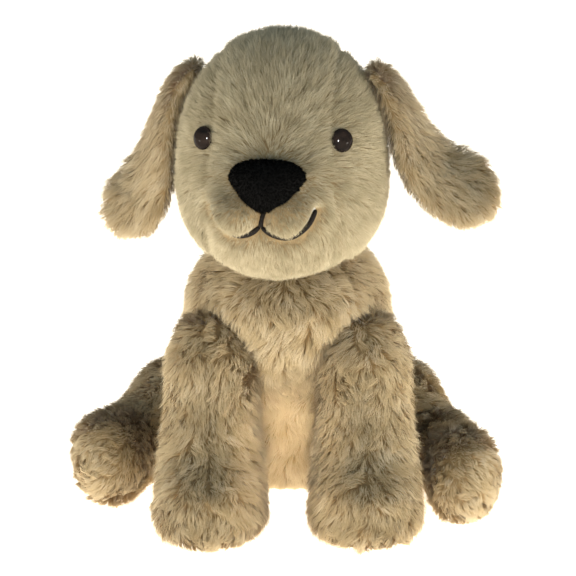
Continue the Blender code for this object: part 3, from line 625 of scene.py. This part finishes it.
def strand_lines(roots, normals, flow, length, lean):
    """Curves that leave along the normal and bend over into the lay: (strand, level, 3)."""
    first = unit(normals + flow * 0.35)
    last = unit(normals * (1 - lean)[:, None] + flow * lean[:, None])
    s = LEVELS[None, :, None]
    path = first[:, None, :] * (s - s * s / 2) + last[:, None, :] * (s * s / 2) * 1.15
    return roots[:, None, :] + path * length[:, None, None]


def tangent(flow, normals):
    return unit(flow - normals * (flow * normals).sum(-1, keepdims=True))


def grow(name, node, ground, body, material, lay, length, lean=0.75, density=1.0, width=1.0,
         wander=0.75, trim=None, tuft=1.0, stick=1.0, tone=0.0, seed=0):
    """The pile on one cover, as one piece: tapered strands that stick together in tufts."""
    rng = np.random.default_rng(seed)
    points, normals, triangles = ground.points, ground.normals, ground.triangles
    a, b, c = (points[triangles[:, k]] for k in range(3))
    area = np.linalg.norm(np.cross(b - a, c - a), axis=1) / 2
    owner = ground.covers.index(node)
    mine = (ground.owner[triangles] == owner).any(1)
    area = np.where(mine, area, 0.0)
    count = min(int(area.sum() / MM ** 2 * PILE_DENSITY * density), MOST_STRANDS)
    chosen = triangles[rng.choice(len(triangles), count, p=area / area.sum())]
    first, second = np.sqrt(rng.random(count)), rng.random(count)
    weights = np.stack([1 - first, first * (1 - second), first * second], 1)

    def at_roots(values):
        return (values[chosen] * (weights[..., None] if values.ndim > 1 else weights)).sum(1)

    belongs = ground.owner[chosen[np.arange(count), weights.argmax(1)]] == owner
    root, normal = at_roots(points), unit(at_roots(normals))
    room, seam = at_roots(ground.room), at_roots(ground.seam)
    size = np.full(count, length)
    size *= mixed(SEAM_LENGTH, 1.0, smooth_step(seam, 0.0, SEAM_PARTING))
    if trim:
        size *= trim(root)
    size = np.minimum(size, room * ROOM_SHARE - ROOM_LEFT)
    keep = belongs & (size > SHORTEST)
    root, normal, size = root[keep], normal[keep], size[keep]
    count = len(root)

    flow = lay(root, normal)
    stray = SWIRL[0] * waves(root, SWIRL[1], seed + 1) + RIPPLE[0] * waves(root, RIPPLE[1], seed + 2)
    flow = tangent(flow + wander * stray, normal)
    tufts = max(int(area.sum() / (TUFT_SPACING * tuft) ** 2), 1)
    leaders = rng.choice(count, tufts, replace=False)
    tree = KDTree(len(leaders))
    for i, leader in enumerate(leaders):
        tree.insert(root[leader], i)
    tree.balance()
    tuft_of = np.array([tree.find(p)[1] for p in root])
    jitter = rng.normal(scale=TUFT_STRAY["lay"] * stick, size=(tufts, 3))
    leader_flow = tangent(flow[leaders] + jitter, normal[leaders])
    leader_lean = np.clip(lean + rng.normal(scale=TUFT_STRAY["lean"] * stick, size=tufts), 0.1, 0.97)
    leader_size = size[leaders] * (1 + TUFT_STRAY["length"] * stick * rng.uniform(-1, 1, tufts))
    leader_line = strand_lines(root[leaders], normal[leaders], leader_flow, leader_size, leader_lean)
    own_lean = leader_lean[tuft_of] + rng.normal(scale=STRAND_STRAY["lean"], size=count)
    own_lean = np.clip(own_lean, 0.05, 0.97)
    own_flow = leader_flow[tuft_of] + rng.normal(scale=STRAND_STRAY["lay"], size=(count, 3))
    own_flow = tangent(own_flow, normal)
    own_size = size * rng.uniform(*STRAND_LENGTHS, count)
    line = strand_lines(root - normal * ROOT_DEPTH, normal, own_flow, own_size, own_lean)
    pull = TUFT_PULL * stick * rng.uniform(*TUFT_PULLS, count)[:, None, None]
    line = line + (leader_line[tuft_of] - line) * pull * LEVELS[None, :, None] ** PULL_CURVE
    lowest = rng.uniform(*FLAT_ON_FLOOR, count)[:, None] * FLOOR_CLEARANCE
    line[:, 1:, 2] = np.maximum(line[:, 1:, 2], lowest)

    along = unit(line[:, 1] - line[:, 0])
    side = unit(np.cross(along, normal))
    turn = rng.uniform(-STRAND_TURN, STRAND_TURN, count)[:, None]
    across = unit(side * np.cos(turn) + np.cross(side, along) * np.sin(turn))
    wide = STRAND_WIDTH * width * rng.uniform(*STRAND_WIDTHS, count)[:, None, None] / 2
    reach = across[:, None] * wide * np.array(TAPER)[None, :, None]
    both = np.stack([line[:, :2] - reach, line[:, :2] + reach], 2).reshape(count, 4, 3)
    vertices = np.concatenate([both, line[:, 2:]], 1)
    facing = unit(mixed(np.cross(across, along), normal, SOFTNESS))
    # painted light: the pile is paler near the floor
    # painted shade: a negative tone darkens the forelegs and the face
    tint = 0.5 + tone + PAINTED_FLOOR_LIGHT * (1 - smooth_step(root[:, 2], 0.0, PAINTED_FLOOR_LIGHT_HEIGHT))
    tint += TINT_PATCH[0] * waves(root, TINT_PATCH[1], seed + 3, 1)[:, 0]
    tint += TINT_TUFT * rng.normal(size=tufts)[tuft_of]
    tint = np.clip(tint + TINT_STRAND * rng.normal(size=count), 0.02, 0.98)
    obj = add_object(name, strand_mesh(name, vertices, facing, tint), material)
    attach(obj, body)
    return obj


def strand_mesh(name, vertices, facing, tint):
    """A quad and a triangle for each strand, shaded as the given direction says. In the pile map,
    its tint runs across and its height up."""
    count = len(vertices)
    pattern = np.array([0, 1, 3, 2, 2, 3, 4])
    starts = np.array([0, 4])
    mesh = bpy.data.meshes.new(name)
    strand = np.arange(count)[:, None]
    mesh.vertices.add(count * 5)
    mesh.vertices.foreach_set("co", vertices.astype(np.float32).ravel())
    mesh.loops.add(count * len(pattern))
    mesh.loops.foreach_set("vertex_index", (strand * 5 + pattern).astype(np.int32).ravel())
    mesh.polygons.add(count * len(starts))
    mesh.polygons.foreach_set("loop_start", (strand * len(pattern) + starts).astype(np.int32).ravel())
    mesh.update(calc_edges=True)
    mesh.shade_smooth()
    shading = mesh.attributes.new("custom_normal", "FLOAT_VECTOR", "POINT")
    shading.data.foreach_set("vector", np.repeat(facing, 5, axis=0).astype(np.float32).ravel())
    up = LEVELS[[0, 0, 1, 1, 2]][pattern]
    across = (TINT_WIDTH * np.array([-1, 1, -1, 1, 0]))[pattern]
    layer = mesh.uv_layers.new(name=PILE_MAP)
    place = np.stack([tint[:, None] + across, np.broadcast_to(up, (count, len(pattern)))], -1)
    layer.uv.foreach_set("vector", place.astype(np.float32).ravel())
    return mesh


# The pieces ---------------------------------------------------------------------------------------
COVERS = {
    "torso": ["chest_panel", "side_panel_left", "side_panel_right", "seat_panel"],
    "head": ["forehead_gusset", "face_panel_left", "face_panel_right", "chin_panel"],
    "tail": ["tail_upper", "tail_under"],
}
FILLINGS = {
    "torso": ["torso_stuffing", "seat_bean_bag"],
    "head": ["head_stuffing"],
    "tail": ["tail_stuffing"],
}
for side_name, way in SIDES:
    COVERS["ear_" + side_name] = ["ear_outer_" + side_name, "ear_lining_" + side_name]
    FILLINGS["ear_" + side_name] = []
    for limb, sole in (("foreleg", "paw_sole"), ("hindleg", "foot_sole")):
        body_name = f"{limb}_{side_name}"
        COVERS[body_name] = [f"{limb}_outer_{side_name}", f"{limb}_inner_{side_name}",
                             f"{sole}_{side_name}"]
        FILLINGS[body_name] = [f"{limb}_stuffing_{side_name}"]
    FILLINGS["foreleg_" + side_name].append("paw_bean_bag_" + side_name)
EAR_SKIN = dict(voxel=2.6 * MM, rounds=2, inset=0.0, fill=0.2)
SHAPES = {"head": shape_face, "foreleg": settle}


def make_skins():
    skins = {}
    for body_name, covers in COVERS.items():
        ways = EAR_SKIN if body_name.startswith("ear") else {}
        skins[body_name] = make_skin("skin_" + body_name, body_name, covers, FILLINGS[body_name],
                                     MATERIALS["backing"], shape=SHAPES.get(body_name.split("_")[0]),
                                     **ways)
    return skins


# Where the pile is cut close: the share of its length that is left, and from where to where, measured
# from the eye, the nose or the mouth, it grows back to its full length
EYE_CUT = (0.5, 4.5 * MM)
EYE_CUT_ENDS = (10.0, 7.5)   # millimetres: below the eye and above it
EYE_LEVEL = (-2 * MM, 5 * MM)
NOSE_CUT = (0.35, 14 * MM, 30 * MM)
MOUTH_CUT = (0.14, 1.0 * MM, 5.5 * MM)
FRONT = -40 * MM             # the mouth is forward of this, from the eyes


def trim_face(root):
    """The pile is cut close round the eyes, under the nose and along the mouth."""
    place = face_place(root)
    share = np.ones(len(root))
    for apex, _ in EYES.values():
        gap = np.linalg.norm(root - apex, axis=1)
        above = smooth_step(root[:, 2] - apex[2], *EYE_LEVEL)
        share *= mixed(EYE_CUT[0], 1.0, smooth_step(gap, EYE_CUT[1], mixed(*EYE_CUT_ENDS, above) * MM))
    nose_gap = np.linalg.norm(root - NOSE, axis=1)
    share *= mixed(NOSE_CUT[0], 1.0, smooth_step(nose_gap, *NOSE_CUT[1:]))
    front = place[:, 1] > FRONT
    gap = np.full(len(root), 1.0)
    gap[front] = mouth_distance(place[front])
    share *= mixed(MOUTH_CUT[0], 1.0, smooth_step(gap, *MOUTH_CUT[1:]))
    return share


def face_lay(points, normals):
    """The pile runs out from the top of the nose, and back over the crown."""
    place = face_place(points)
    away = unit(points - (NOSE + HEAD_UP * 4 * MM - HEAD_OUT * 6 * MM))
    back = -HEAD_OUT[None, :] * smooth_step(place[:, 2], 8 * MM, 45 * MM)[:, None]
    down = -HEAD_UP[None, :] * smooth_step(-place[:, 2], -5 * MM, 25 * MM)[:, None] * 0.5
    return unit(away + back * 0.9 + down)


# Ways the pile is finished, as arguments for grow
FINE = dict(width=0.70, density=1.4, tuft=0.7, stick=0.4, wander=0.3)
BRUSHED = dict(stick=0.7, wander=0.6)
COMBED = dict(width=0.8, density=1.25, tuft=0.9, stick=0.6, wander=0.35)


def ear_root(name):
    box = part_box("ear_outer_" + name)
    points = node_points("ear_outer_" + name)
    return points[points[:, 2] > box[1][2] - 12 * MM].mean(0)


def make_pile(skins):
    grounds = {name: Ground(skins[name], COVERS[name]) for name in skins}
    for name, ground in grounds.items():
        others = [g for n, g in grounds.items() if n != name]
        ground.find_room(others, ROOM_REACH)
    cream, short, face = (MATERIALS[m] for m in ("cream_plush", "short_plush", "face_plush"))
    down = steady((0, -0.15, -1), 0.25)
    plans = {
        "chest_panel": dict(lay=down, length=10.0 * MM, lean=0.80, tone=-0.05, **BRUSHED),
        "side_panel_left": dict(lay=steady((-0.2, 0.25, -1)), length=10.0 * MM, lean=0.80, **BRUSHED),
        "side_panel_right": dict(lay=steady((0.2, 0.25, -1)), length=10.0 * MM, lean=0.80, **BRUSHED),
        "seat_panel": dict(lay=steady((0, 1, 0)), length=4.0 * MM, lean=0.9, density=0.7),
        "forehead_gusset": dict(lay=face_lay, length=8.5 * MM, trim=trim_face, lean=0.74),
        "face_panel_left": dict(lay=face_lay, length=7.0 * MM, trim=trim_face, lean=0.76),
        "face_panel_right": dict(lay=face_lay, length=7.0 * MM, trim=trim_face, lean=0.76),
        "chin_panel": dict(lay=face_lay, length=6.0 * MM, trim=trim_face, lean=0.80),
        "tail_upper": dict(lay=steady((0, 1, 0)), length=10.0 * MM, lean=0.7),
        "tail_under": dict(lay=steady((0, 1, -0.1)), length=8.0 * MM, lean=0.7),
    }
    for node in COVERS["head"]:
        # painted shade: the face panels and the chin are tinted darker than the forehead
        plans[node].update(FINE, tone=0.0 if node == "forehead_gusset" else -0.15)
    for name, way in SIDES:
        ear = towards(ear_root(name) + [0, 0, 8 * MM])
        plans["ear_outer_" + name] = dict(lay=ear, length=11.0 * MM, lean=0.88, **COMBED)
        plans["ear_lining_" + name] = dict(lay=ear, length=8.0 * MM, lean=0.88, **COMBED)
        shin = blended((1.0, steady((0, -0.1, -1))), (0.35, towards((way * 42 * MM, -80 * MM, 60 * MM))))
        shin = onto_floor(shin, (way * 43 * MM, -92 * MM, 0))
        for part in ("foreleg_outer_", "foreleg_inner_"):
            # painted shade: the forelegs' pile is tinted darker, for the shade that falls on the legs
            plans[part + name] = dict(lay=shin, length=9.5 * MM, lean=0.80, tone=-0.16, **BRUSHED)
        haunch = np.array(next(j["pos_m"] for j in frame["joints"] if j["name"] == "hindleg_swing_" + name))
        foot = node_points("foot_sole_" + name).mean(0)
        thigh = onto_floor(blended((1.0, steady(foot - haunch)), (0.7, towards(haunch + [0, 0.01, 0.03]))),
                           (foot[0] * 0.9, foot[1] + 20 * MM, 0))
        for part in ("hindleg_outer_", "hindleg_inner_"):
            plans[part + name] = dict(lay=thigh, length=9.5 * MM, lean=0.78, **BRUSHED)
        plans["paw_sole_" + name] = dict(lay=steady((0, -1, 0)), length=4.0 * MM, lean=0.9, density=0.7)
        plans["foot_sole_" + name] = dict(lay=steady((way, -0.4, -0.6)), length=6.0 * MM, lean=0.8)
    for number, (node, plan) in enumerate(sorted(plans.items())):
        body = next(b for b, covers in COVERS.items() if node in covers)
        lining = node.startswith("ear_lining")
        material = short if lining else face if node in COVERS["head"] else cream
        obj = grow("pile_" + node, node, grounds[body], body, material, seed=100 * number, **plan)


EYE_RADIUS = 6.3 * MM
EYE_HEIGHT = 4.4 * MM        # of the dome alone
EYE_SUNK = 0.4 * MM
RIM = ((0.96, -0.6 * MM), (0.6, -0.7 * MM))  # the dome's rounded back: shares of its radius, heights


def dome(name, centre, out, radius, height, material, rings=16, segments=48):
    """A smooth rounded button that faces along the given direction."""
    turn = Vector((0, 0, 1)).rotation_difference(Vector(out)).to_matrix()
    vertices, faces = [], []
    profile = [(radius * math.sin(a), height * math.cos(a))
               for a in np.linspace(0, math.pi / 2, rings)[1:]]
    profile += [(radius * share, z) for share, z in RIM]
    for r, z in profile:
        for a in np.linspace(0, 2 * math.pi, segments, endpoint=False):
            vertices.append(turn @ Vector((r * math.cos(a), r * math.sin(a), z)) + Vector(centre))
    for i in range(len(profile) - 1):
        for j in range(segments):
            k = (j + 1) % segments
            below = (i + 1) * segments
            faces.append((i * segments + j, below + j, below + k, i * segments + k))
    top, foot = len(vertices), len(vertices) + 1
    vertices += [turn @ Vector((0, 0, height)) + Vector(centre),
                 turn @ Vector((0, 0, RIM[-1][1])) + Vector(centre)]
    last = (len(profile) - 1) * segments
    for j in range(segments):
        k = (j + 1) % segments
        faces.append((top, j, k))
        faces.append((foot, last + k, last + j))
    return add_object(name, mesh_from(name, vertices, faces), material)


def make_eyes():
    eyes = []
    for name, (apex, out) in EYES.items():
        obj = dome("button_eye_" + name, apex - out * (EYE_HEIGHT - EYE_SUNK), out, EYE_RADIUS, EYE_HEIGHT,
                   MATERIALS["gloss_black_eye"])
        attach(obj, "head")
        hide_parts("eye_" + name)
        eyes.append(obj)
    return eyes


def make_nose():
    obj = make_skin("nose_cushion", "head", ["nose_pad"], ["nose_stuffing"], MATERIALS["black_velour"],
                    voxel=1.4 * MM, rounds=4, inset=0.4 * MM, fill=0.9)
    return obj


def make_nose_pile(nose):
    ground = Ground(nose, ["nose_pad"])
    ground.room = np.full(len(ground.points), ROOM_REACH)
    lay = towards(NOSE + HEAD_UP * 6 * MM)
    obj = grow("pile_nose_pad", "nose_pad", ground, "head", MATERIALS["velour_pile"], lay, 1.5 * MM,
               lean=0.5, density=4.0, width=0.5, wander=0.4, tuft=0.35, seed=7)


def thread_tube(points, radius, sides=10):
    """A round thread along the points, with rounded ends."""
    along = unit(np.gradient(points, axis=0))
    across = unit(np.cross(along, HEAD_OUT))
    over = np.cross(across, along)
    share = np.linspace(0, 1, len(points))
    size = radius * np.sqrt(np.clip(1 - (2 * share - 1) ** 16, 0.04, 1))
    turn = np.linspace(0, 2 * math.pi, sides, endpoint=False)
    rings = points[:, None] + (across[:, None] * np.cos(turn)[None, :, None]
                               + over[:, None] * np.sin(turn)[None, :, None]) * size[:, None, None]
    faces = []
    for i in range(len(points) - 1):
        for j in range(sides):
            k = (j + 1) % sides
            faces.append((i * sides + j, i * sides + k, (i + 1) * sides + k, (i + 1) * sides + j))
    count = len(points) * sides
    faces.append(tuple(reversed(range(sides))))
    faces.append(tuple(range(count - sides, count)))
    return rings.reshape(-1, 3), faces


def make_mouth(head):
    """The stitched lines lie in the crease of the muzzle."""
    mesh = head.data
    tree = BVHTree.FromPolygons(points_of(mesh).tolist(), triangles_of(mesh).tolist())
    for name, line in MOUTH.items():
        start = EYE_MIDDLE + HEAD_OUT * 60 * MM + line[:, :1] * HEAD_X + line[:, 1:] * HEAD_UP
        found = [tree.ray_cast(Vector(p), Vector(-HEAD_OUT))[0] for p in start]
        points = np.array(found) + HEAD_OUT * THREAD_RISE
        tube = mesh_from("mouth_line_" + name, *thread_tube(points, THREAD_RADIUS))
        obj = add_object("mouth_line_" + name, tube, MATERIALS["black_thread"])
        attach(obj, "head")
        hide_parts("mouth_stitch_" + name)


LABEL_WIDTH, LABEL_LENGTH = 0.013, 0.020
LABEL_CURL = 0.8 * MM


def make_label():
    """A ribbon label that hangs from the seam beside the tail."""
    corners = node_points("care_label")
    middle = corners.mean(0)
    axes = np.linalg.svd(corners - middle)[2]
    length, width = axes[0], axes[1]
    if length @ (middle - [0, 0, middle[2]]) < 0:
        length = -length
    out = np.cross(length, width)
    across, down = 9, 13     # points of the sheet
    vertices = []
    for v in np.linspace(-0.5, 0.5, down):
        for u in np.linspace(-0.5, 0.5, across):
            curl = LABEL_CURL * math.sin(3.0 * v + 1.5 * u)
            vertices.append(middle + length * v * LABEL_LENGTH + width * u * LABEL_WIDTH + out * curl)
    faces = [(i * across + j, i * across + j + 1, (i + 1) * across + j + 1, (i + 1) * across + j)
             for i in range(down - 1) for j in range(across - 1)]
    obj = add_object("label_ribbon", mesh_from("label_ribbon", vertices, faces), MATERIALS["woven_label"])
    modifier = obj.modifiers.new("Thickness", "SOLIDIFY")
    modifier.thickness = 0.3 * MM
    applied(obj)
    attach(obj, "torso")
    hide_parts("care_label")


def paint_nodes():
    """Node materials for the CAD pieces that stay: fillings, bags, washers and threads."""
    slots = {"_stuffing": "fibre_filling", "bean_bag": "bean_bag_cloth", "eye_washer": "white_washer",
             "neck_thread": "beige_thread", "closing_stitch": "beige_thread"}
    for node, obj in frame["nodes"].items():
        for part, slot in slots.items():
            if part in node:
                obj.data.materials.clear()
                obj.data.materials.append(MATERIALS[slot])


# Floor, lights and camera -------------------------------------------------------------------------
def add_light(name, place, target, size, power, colour, spread=math.pi):
    data = bpy.data.lights.new(name, "AREA")
    data.spread = spread
    data.size = size
    data.energy = power
    data.color = colour
    light = bpy.data.objects.new(name, data)
    light.location = place
    light.rotation_euler = (Vector(target) - Vector(place)).to_track_quat("-Z", "Y").to_euler()
    bpy.context.scene.collection.objects.link(light)
    return light


def make_studio():
    """A glowing table and low side lights that light the dog from below, under a dim cool sky."""
    corners = [(x * FLOOR_HALF, y * FLOOR_HALF, 0) for x, y in ((-1, -1), (1, -1), (1, 1), (-1, 1))]
    mesh = mesh_from("floor", corners, [(0, 1, 2, 3)])
    made = Nodes("floor_pale", 0.8, specular=0.1)
    made.paint(made.ramp(made.noise(6.0), [(0.3, (0.84, 0.84, 0.84)), (0.7, (0.88, 0.88, 0.88))]))
    made.shader.inputs["Emission Color"].default_value = (*FLOOR_GLOW[:3], 1.0)
    made.shader.inputs["Emission Strength"].default_value = FLOOR_GLOW[3]
    add_object("floor", mesh, made.material)
    world = bpy.data.worlds.new("studio")
    world.use_nodes = True
    nodes, links = world.node_tree.nodes, world.node_tree.links
    place = nodes.new("ShaderNodeTexCoord")
    split = nodes.new("ShaderNodeSeparateXYZ")
    sky = nodes.new("ShaderNodeValToRGB")
    links.new(place.outputs["Generated"], split.inputs["Vector"])
    links.new(split.outputs["Z"], sky.inputs["Fac"])
    links.new(sky.outputs["Color"], nodes["Background"].inputs["Color"])
    low, high = sky.color_ramp.elements
    low.position, low.color = 0.02, SKY_LOW
    high.position, high.color = 0.30, SKY_HIGH
    nodes["Background"].inputs["Strength"].default_value = SKY
    bpy.context.scene.world = world
    bpy.context.scene.view_settings.view_transform = "Standard"
    add_light("key", place=(0.0, -1.1, 0.16), target=(0, -0.1, 0.10), size=0.5, power=KEY,
              colour=(0.88, 1.0, 1.0))
    add_light("belly", place=(0.0, -0.42, 0.03), target=(0, -0.06, 0.050), size=0.05,
              power=BELLY_LIGHT, colour=(1.0, 0.86, 0.66), spread=0.12)
    for name, way in SIDES:
        add_light("low_" + name, place=(way * 0.85, -0.36, 0.03), target=(way * 0.06, -0.05, 0.05),
                  size=0.2, power=LOW_LIGHTS[name], colour=(1.0, 0.94, 0.82), spread=math.radians(40))


def make_eye_light(eyes):
    """A soft box beside the camera that only the glossy eyes mirror."""
    light = add_light("eye_light", place=(0.0, -1.1, 0.36), target=(0, -0.1, 0.20), size=0.16,
                      power=EYE_LIGHT, colour=(1.0, 1.0, 1.0))
    seen_by = bpy.data.collections.new("lit_by_eye_light")
    for eye in eyes:
        seen_by.objects.link(eye)
    light.light_linking.receiver_collection = seen_by


def make_camera():
    data = bpy.data.cameras.new("camera")
    data.sensor_width = 36.0
    data.lens = CAMERA_LENS
    camera = bpy.data.objects.new("camera", data)
    back = Vector((0, -math.cos(CAMERA_RISE), math.sin(CAMERA_RISE)))
    camera.location = Vector(CAMERA_TARGET) + back * CAMERA_DISTANCE
    camera.rotation_euler = (-back).to_track_quat("-Z", "Y").to_euler()
    bpy.context.scene.collection.objects.link(camera)
    bpy.context.scene.camera = camera


make_camera()
make_studio()
paint_nodes()
skins = make_skins()
make_pile(skins)
make_eye_light(make_eyes())
make_nose_pile(make_nose())
make_mouth(skins["head"])
make_label()
